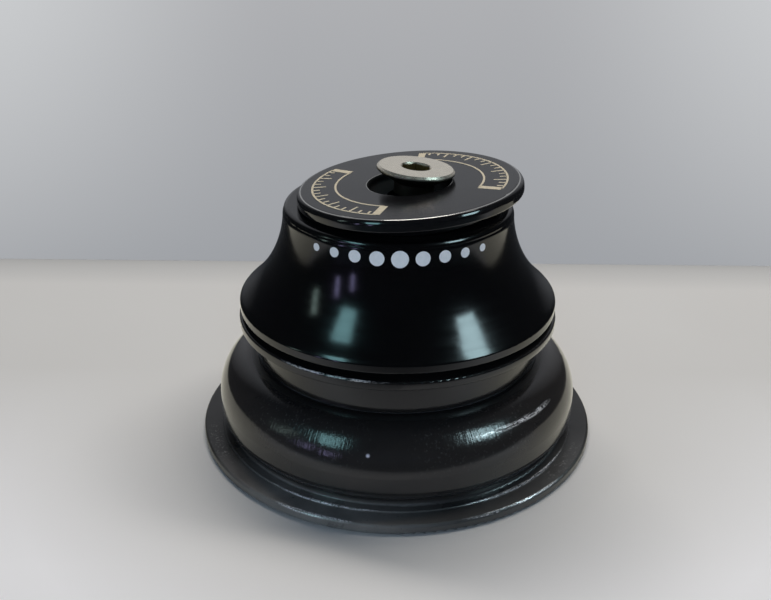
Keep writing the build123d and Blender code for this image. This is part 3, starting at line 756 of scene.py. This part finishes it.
def zinc_plated_sheet():
    # Stamped sheet in a zinc bath: soft grey, slightly cloudy.
    material, tree, shader = start_material("zinc_plated_sheet", Metallic=1.0)
    place = millimetres(tree)
    cloud = add(tree, "TexNoise", {"Vector": place, "Scale": 1 / ZINC_CLOUD, "Detail": 4.0})
    tone, gloss = two_tone(tree, cloud, "#97988f", "#bcbdb8", 0.26, 0.4)
    connect(tree, shader, Base_Color=tone, Roughness=gloss)
    return material


def moulded_rubber():
    # Nitrile rubber: deep grey-black, dull, with a dusting of talc.
    material, tree, shader = start_material("moulded_rubber", IOR=1.5)
    place = millimetres(tree)
    talc = add(tree, "TexNoise", {"Vector": place, "Scale": 1 / TALC, "Detail": 3.0})
    tone, gloss = two_tone(tree, talc, "#0b0b0b", "#191918", 0.5, 0.7)
    connect(tree, shader, Base_Color=tone, Roughness=gloss)
    return material


dress(ground_bearing_steel(), "lower_balls", "upper_balls", "crown_race", "upper_race")
dress(zinc_plated_sheet(), "lower_ball_cage", "upper_ball_cage", "lower_shim", "upper_shim",
      "star_hub", "lower_star_spring", "upper_star_spring")
dress(moulded_rubber(), "crown_seal", "dust_seal", "o_ring")

# %% [markdown]
# ## The bolt
# An M6 bolt with a low flat head. A solid model keeps the shank as a plain cylinder, so this is where the
# thread is cut. The head is a disc that is extruded down ring by ring, and its socket is a hexagon taken
# out with a Boolean, with a small cone at its mouth, because a real socket is countersunk before it is
# punched. The bolt is modelled upright, with the middle of its head's top at the origin, and moved to
# its place at the end.

# %% Where the bolt stands
joints = {joint["name"]: joint for joint in frame["record"]["behaviour"]["joints"]}
bolt_axis = Vector(joints["bolt_turn"]["axis"]).normalized()
bolt_top = Vector(joints["bolt_turn"]["pos_m"])
bolt_x = (Vector((1, 0, 0)) - bolt_axis * bolt_axis.x).normalized()
bolt_place = (Matrix.Translation(bolt_top)
              @ Matrix((bolt_x, bolt_axis.cross(bolt_x), bolt_axis)).transposed().to_4x4())
solid = [bolt_place.inverted() @ vertex.co for vertex in nodes["cap_bolt"].data.vertices]
HEAD_R = max(math.hypot(point.x, point.y) for point in solid)
BOLT_LENGTH = -min(point.z for point in solid)
print("bolt: head radius", round(HEAD_R / MM, 2), "mm, length", round(BOLT_LENGTH / MM, 2), "mm")

# %% Nickel-plated steel for the bolt
NICKEL_CLOUD = 1.1
NICKEL_GRAIN = 0.2
SOCKET_REACH = (2.5, 2.35)
SOCKET_LEVEL = (-0.1, -0.35)
UNDER_LEVEL = (-0.2, -0.55)


def nickel_plated_steel():
    # Thin nickel under a film of oxide, so not quite pure metal: warm silver with a fine grain, brown in the
    # socket and darker under the head, where the dark is painted shade with some tarnish.
    material, tree, shader = start_material("nickel_plated_steel", Metallic=0.88)
    place = millimetres(tree)
    cloud = add(tree, "TexNoise", {"Vector": place, "Scale": 1 / NICKEL_CLOUD, "Detail": 5.0,
                                   "Roughness": 0.6})
    grain = add(tree, "TexNoise", {"Vector": place, "Scale": 1 / NICKEL_GRAIN, "Detail": 2.0})
    inside = add(tree, "VectorMath", {0: place, 1: tuple(bolt_top / MM)}, operation="SUBTRACT")
    level = add(tree, "VectorMath", {0: inside, 1: tuple(bolt_axis)}, operation="DOT_PRODUCT")
    aside = add(tree, "VectorMath", {0: inside, 1: tuple(bolt_axis)}, operation="CROSS_PRODUCT")
    aside = add(tree, "VectorMath", {0: aside}, operation="LENGTH")
    socket = add(tree, "MapRange", {"Value": aside, **span(*SOCKET_REACH)})
    sunk = add(tree, "MapRange", {"Value": level, **span(*SOCKET_LEVEL)})
    socket = add(tree, "Math", {0: socket, 1: sunk}, operation="MULTIPLY")
    below = add(tree, "MapRange", {"Value": level, **span(*UNDER_LEVEL)})
    tone, gloss = two_tone(tree, cloud, "#ece2ce", "#fff7e6", 0.2, 0.34)
    # Under the head: painted shade, with some tarnish. In the socket: oxide.
    for mask, code in ((below, "#38322a"), (socket, "#75623f")):
        tone = add(tree, "Mix", {0: mask, MIX_A: tone, MIX_B: srgb(code)}, data_type="RGBA")
    dull = add(tree, "Math", {0: any_of(tree, [socket, below]), 1: 0.2, 2: gloss}, operation="MULTIPLY_ADD")
    bump = add(tree, "Bump", {"Height": grain, "Strength": 0.2, "Distance": 0.02 * MM})
    connect(tree, shader, Base_Color=tone, Roughness=dull, Normal=bump)
    return material


# %% A few modelling moves that come back
def start_piece(name):
    """Names the primitive that was just added, and opens it for editing with all of it selected."""
    piece = bpy.context.object
    piece.name = name
    bpy.ops.object.mode_set(mode="EDIT")
    bpy.ops.mesh.select_mode(type="EDGE")
    bpy.ops.mesh.select_all(action="SELECT")
    return piece


def pull_ring(drop, widen):
    """Extrudes the selected ring or face down by drop and scales it about the axis."""
    bpy.ops.mesh.extrude_region_move(TRANSFORM_OT_translate={"value": (0, 0, -drop)})
    bpy.ops.transform.resize(value=(widen, widen, 1), center_override=(0, 0, 0))


def close_piece():
    """Merges doubles, turns the normals outwards and leaves edit mode."""
    bpy.ops.mesh.select_all(action="SELECT")
    bpy.ops.mesh.remove_doubles(threshold=MERGE)
    bpy.ops.mesh.normals_make_consistent(inside=False)
    bpy.ops.object.mode_set(mode="OBJECT")


def combine(piece, other, operation):
    """Applies a Boolean of the other piece, which is then thrown away."""
    deselect()
    bpy.context.view_layer.objects.active = piece
    cut = piece.modifiers.new("combine", "BOOLEAN")
    cut.operation = operation
    cut.solver = "EXACT"
    cut.object = other
    bpy.ops.object.modifier_apply(modifier=cut.name)
    bpy.data.objects.remove(other)


def settle(piece, place, angle):
    """Applies a piece's place to its mesh and smooths the edges that are flatter than angle."""
    deselect()
    piece.select_set(True)
    bpy.context.view_layer.objects.active = piece
    piece.matrix_world = place
    bpy.ops.object.transform_apply(location=True, rotation=True, scale=True)
    bpy.ops.object.shade_smooth_by_angle(angle=math.radians(angle))
    print(piece.name, "faces", len(piece.data.polygons))


# %% Model the head
HEAD_EDGE = 0.3 * MM
HEAD_RIM = 0.9 * MM
HEAD_CONE = 1.4 * MM
SOCKET_FLATS = 4.0 * MM
SOCKET_DEPTH = 1.9 * MM
SOCKET_MOUTH = 0.35 * MM
DRILL_R = SOCKET_FLATS / 2.2
DRILL_POINT = 1.0 * MM
THREAD_CREST_R = 2.97 * MM
NECK = 1.6 * MM

deselect()
bpy.ops.mesh.primitive_circle_add(vertices=96, radius=HEAD_R - HEAD_EDGE, fill_type="NGON",
                                  location=(0, 0, 0))
bolt = start_piece("threaded_bolt")
pull_ring(HEAD_EDGE, HEAD_R / (HEAD_R - HEAD_EDGE))
pull_ring(HEAD_RIM - 2 * HEAD_EDGE, 1)
pull_ring(HEAD_EDGE, 1 - HEAD_EDGE / HEAD_R)
pull_ring(HEAD_CONE, THREAD_CREST_R / (HEAD_R - HEAD_EDGE))
pull_ring(NECK, 1)
close_piece()

corner_r = SOCKET_FLATS / 2 / math.cos(math.radians(30))
deselect()
bpy.ops.mesh.primitive_cylinder_add(vertices=6, radius=corner_r, depth=2 * SOCKET_DEPTH, location=(0, 0, 0))
combine(bolt, bpy.context.object, "DIFFERENCE")
deselect()
bpy.ops.mesh.primitive_cone_add(vertices=72, radius1=corner_r - SOCKET_MOUTH, radius2=corner_r + SOCKET_MOUTH,
                                depth=2 * SOCKET_MOUTH, location=(0, 0, 0))
combine(bolt, bpy.context.object, "DIFFERENCE")
deselect()
bpy.ops.mesh.primitive_cone_add(vertices=48, radius1=0.0, radius2=DRILL_R, depth=DRILL_POINT,
                                location=(0, 0, -SOCKET_DEPTH))
combine(bolt, bpy.context.object, "DIFFERENCE")
print("head faces", len(bolt.data.polygons))

# %% [markdown]
# ### The thread
# One pitch of the thread is an outline of five points: root, flank, crest, flank. A Screw modifier lifts
# that outline by one pitch for each turn and joins turn to turn, so that the thread is one skin. It is
# then cut off square at both ends, and its tip is trimmed by a cylinder with a bevelled end.

# %% Model the thread
PITCH = 1.0 * MM
THREAD_DEPTH = 0.58 * MM
THREAD_STEPS = 40
SPARE_TURNS = 2
OVERLAP = 0.2 * MM
# Steps along the outline: how far outwards, and how far up as a share of the pitch.
THREAD_OUTLINE = ((0, 0.25), (THREAD_DEPTH, 0.3125), (0, 0.125), (-THREAD_DEPTH, 0.3125))
thread_start = HEAD_RIM + HEAD_CONE + NECK - OVERLAP

deselect()
bpy.ops.mesh.primitive_plane_add(size=1 * MM, location=(0, 0, 0))
thread = start_piece("thread")
bpy.ops.mesh.merge(type="CENTER")
bpy.ops.transform.translate(value=(THREAD_CREST_R - THREAD_DEPTH, 0, -BOLT_LENGTH - PITCH))
for outward, rise in THREAD_OUTLINE:
    bpy.ops.mesh.extrude_region_move(TRANSFORM_OT_translate={"value": (outward, 0, rise * PITCH)})
bpy.ops.object.mode_set(mode="OBJECT")
screw = thread.modifiers.new("screw", "SCREW")
screw.screw_offset = PITCH
screw.iterations = math.ceil((BOLT_LENGTH - thread_start) / PITCH) + SPARE_TURNS
screw.steps = THREAD_STEPS
screw.render_steps = THREAD_STEPS
screw.use_merge_vertices = True
screw.merge_threshold = MERGE
bpy.ops.object.modifier_apply(modifier=screw.name)
bpy.ops.object.mode_set(mode="EDIT")
for height, side in ((-thread_start, 1), (-BOLT_LENGTH, -1)):
    bpy.ops.mesh.select_all(action="SELECT")
    bpy.ops.mesh.bisect(plane_co=(0, 0, height), plane_no=(0, 0, side), clear_outer=True, use_fill=True)
close_piece()
print("thread faces", len(thread.data.polygons))

# %% Trim the tip and finish the bolt
TIP_BEVEL = 0.7 * MM

deselect()
bpy.ops.mesh.primitive_cylinder_add(vertices=72, radius=THREAD_CREST_R + OVERLAP, depth=BOLT_LENGTH,
                                    location=(0, 0, -BOLT_LENGTH / 2))
trim = start_piece("trim")
bpy.ops.mesh.select_all(action="DESELECT")
bpy.ops.object.mode_set(mode="OBJECT")
for face in trim.data.polygons:
    face.select = face.normal.z < -FACING_UP
bpy.ops.object.mode_set(mode="EDIT")
bpy.ops.mesh.bevel(offset=TIP_BEVEL, segments=1)
close_piece()
combine(thread, trim, "INTERSECT")
combine(bolt, thread, "UNION")
settle(bolt, bolt_place, 28)
bolt.data.materials.append(nickel_plated_steel())
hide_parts("cap_bolt")
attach(bolt, "bolt")

# %% [markdown]
# ## The scale on the cap
# The cap carries a plain graduated scale in two curved bands, one each side of the bolt, burnt into the
# black layer by a laser. It could be drawn in the cap's material, but thin pieces keep a crisp edge from
# any distance. Each band is a pair of thin rings that are bisected down to an arc, with a broad bar at each
# end and short ticks in between. The lines are a few hundredths of a millimetre proud, so that they lie on
# the cap and move with it.

# %% Model the lines of the scale
LINE_WIDTH = 0.3 * MM
LINE_PROUD = 0.02 * MM
END_BAR = 1.1 * MM
BAND_INNER = 10.9 * MM
BAND_OUTER = 14.3 * MM
BAND_SPAN = 106
TICK_STEP = 6
LONG_EVERY = 3
TICK_LONG = 2.0 * MM
TICK_SHORT = 1.1 * MM


def arc_line(radius, middle, span):
    """A flat line along an arc of the cap, cut from a ring by two planes through the axis."""
    deselect()
    bpy.ops.mesh.primitive_circle_add(vertices=180, radius=radius - LINE_WIDTH / 2, location=(0, 0, 0))
    line = start_piece("line")
    pull_ring(0, (radius + LINE_WIDTH / 2) / (radius - LINE_WIDTH / 2))
    for end, side in ((middle - span / 2, -1), (middle + span / 2, 1)):
        turn = math.radians(end)
        normal = (-side * math.sin(turn), side * math.cos(turn), 0)
        bpy.ops.mesh.select_all(action="SELECT")
        bpy.ops.mesh.bisect(plane_co=(0, 0, 0), plane_no=normal, clear_outer=True)
    close_piece()
    return line


def radial_line(inner, outer, turn, width=LINE_WIDTH):
    """A flat line along a radius of the cap."""
    deselect()
    bpy.ops.mesh.primitive_plane_add(size=1, location=(0, 0, 0))
    line = start_piece("line")
    bpy.ops.transform.resize(value=(outer - inner, width, 1), center_override=(0, 0, 0))
    bpy.ops.transform.translate(value=((inner + outer) / 2, 0, 0))
    # With no window, this operator turns the other way.
    bpy.ops.transform.rotate(value=-math.radians(turn), orient_axis="Z", center_override=(0, 0, 0))
    close_piece()
    return line


# %% Put a band together
def thicken(piece, thickness, offset):
    """Gives the active piece, a thin sheet, its thickness: offset 0 is to both sides, -1 to one."""
    thick = piece.modifiers.new("thick", "SOLIDIFY")
    thick.thickness = thickness
    thick.offset = offset
    bpy.ops.object.modifier_apply(modifier=thick.name)


def join(pieces, name):
    """Joins pieces into one."""
    deselect()
    for piece in pieces:
        piece.select_set(True)
    bpy.context.view_layer.objects.active = pieces[0]
    bpy.ops.object.join()
    bpy.context.object.name = name
    return bpy.context.object


def scale_band(name, middle):
    """One band of the scale: two arcs, two end bars and the ticks between them, as one thin piece."""
    lines = [arc_line(BAND_INNER, middle, BAND_SPAN), arc_line(BAND_OUTER, middle, BAND_SPAN)]
    for end in (-1, 1):
        lines.append(radial_line(BAND_INNER, BAND_OUTER, middle + end * BAND_SPAN / 2, END_BAR))
    ticks = int(BAND_SPAN / 2 / TICK_STEP)
    for index in range(-ticks, ticks + 1):
        length = TICK_LONG if index % LONG_EVERY == 0 else TICK_SHORT
        lines.append(radial_line(BAND_OUTER - length, BAND_OUTER, middle + index * TICK_STEP))
    band = join(lines, name)
    thicken(band, 2 * LINE_PROUD, 0)
    settle(band, cap_place, 30)
    return band


# %% Lay the scale on the cap
BURN = 0.35
SCALES = {"left_scale": 198, "right_scale": 28}


def laser_bared_aluminium():
    # Where the laser took the dye off: a dry cream, a little uneven, with none of the cap's sheen.
    material, tree, shader = start_material("laser_bared_aluminium", Roughness=0.6)
    place = millimetres(tree)
    burn = add(tree, "TexNoise", {"Vector": place, "Scale": 1 / BURN, "Detail": 3.0})
    tone = add(tree, "Mix", {0: burn, MIX_A: srgb("#b3a68c"), MIX_B: srgb("#e4d9c0")}, data_type="RGBA")
    connect(tree, shader, Base_Color=tone)
    return material


bared = laser_bared_aluminium()
for name, middle in SCALES.items():
    band = scale_band(name, middle)
    band.data.materials.append(bared)
    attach(band, "rotor")

# %% [markdown]
# ## The dots on the cover
# A plain row of white dots is printed on the front of the cover's neck, small at the ends and large in the
# middle. Each dot is a disc that stands in front of the cover, is subdivided and projected straight back
# onto it, so that it takes the hollow curve of the flank and stays round, and is then given the thickness
# of a coat of ink.

# %% Model a dot
DOT_HEIGHT = 35.0 * MM
DOT_START_R = 24 * MM
INK = 0.02 * MM


def dot(turn, across):
    """A disc of ink on the cover's flank, at that angle round the axis."""
    away = Vector((math.cos(math.radians(turn)), math.sin(math.radians(turn)), 0))
    deselect()
    bpy.ops.mesh.primitive_circle_add(vertices=24, radius=across / 2, fill_type="TRIFAN", location=(0, 0, 0))
    piece = start_piece("dot")
    bpy.ops.mesh.subdivide(number_cuts=2)
    bpy.ops.object.mode_set(mode="OBJECT")
    piece.matrix_world = (Matrix.Translation(away * DOT_START_R + Vector((0, 0, DOT_HEIGHT)))
                          @ away.to_track_quat("Z", "Y").to_matrix().to_4x4())
    wrap = piece.modifiers.new("wrap", "SHRINKWRAP")
    wrap.wrap_method = "PROJECT"
    wrap.use_project_z = True
    wrap.use_positive_direction = False
    wrap.use_negative_direction = True
    wrap.target = nodes["top_cover"]
    wrap.offset = INK
    bpy.context.view_layer.update()
    bpy.ops.object.modifier_apply(modifier=wrap.name)
    bpy.ops.object.transform_apply(location=True, rotation=True, scale=True)
    thicken(piece, 2 * INK, -1)
    return piece


# %% Print the row of dots
DOT_COUNT = 9
DOT_LARGE = 2.4 * MM
DOT_SMALL = 1.1 * MM
DOT_GAP = 10.4
DOT_MIDDLE = -89.0
INK_MOTTLE = 0.5


def white_pad_print():
    # Pad-printed ink: an even cool white with a soft gloss, thin enough to show a little mottle.
    material, tree, shader = start_material("white_pad_print", Roughness=0.38)
    place = millimetres(tree)
    mottle = add(tree, "TexNoise", {"Vector": place, "Scale": 1 / INK_MOTTLE, "Detail": 3.0})
    tone = add(tree, "Mix", {0: mottle, MIX_A: srgb("#dfe3e4"), MIX_B: srgb("#f4f6f5")}, data_type="RGBA")
    connect(tree, shader, Base_Color=tone)
    return material


half_row = (DOT_COUNT - 1) / 2
dots = []
for index in range(DOT_COUNT):
    step = index - half_row
    across = DOT_LARGE + (DOT_SMALL - DOT_LARGE) * (abs(step) / half_row)
    dots.append(dot(DOT_MIDDLE + step * DOT_GAP, across))
print_row = join(dots, "printed_dots")
settle(print_row, Matrix.Identity(4), 40)
print_row.data.materials.append(white_pad_print())
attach(print_row, "rotor")

# %% Finish
bpy.context.view_layer.update()
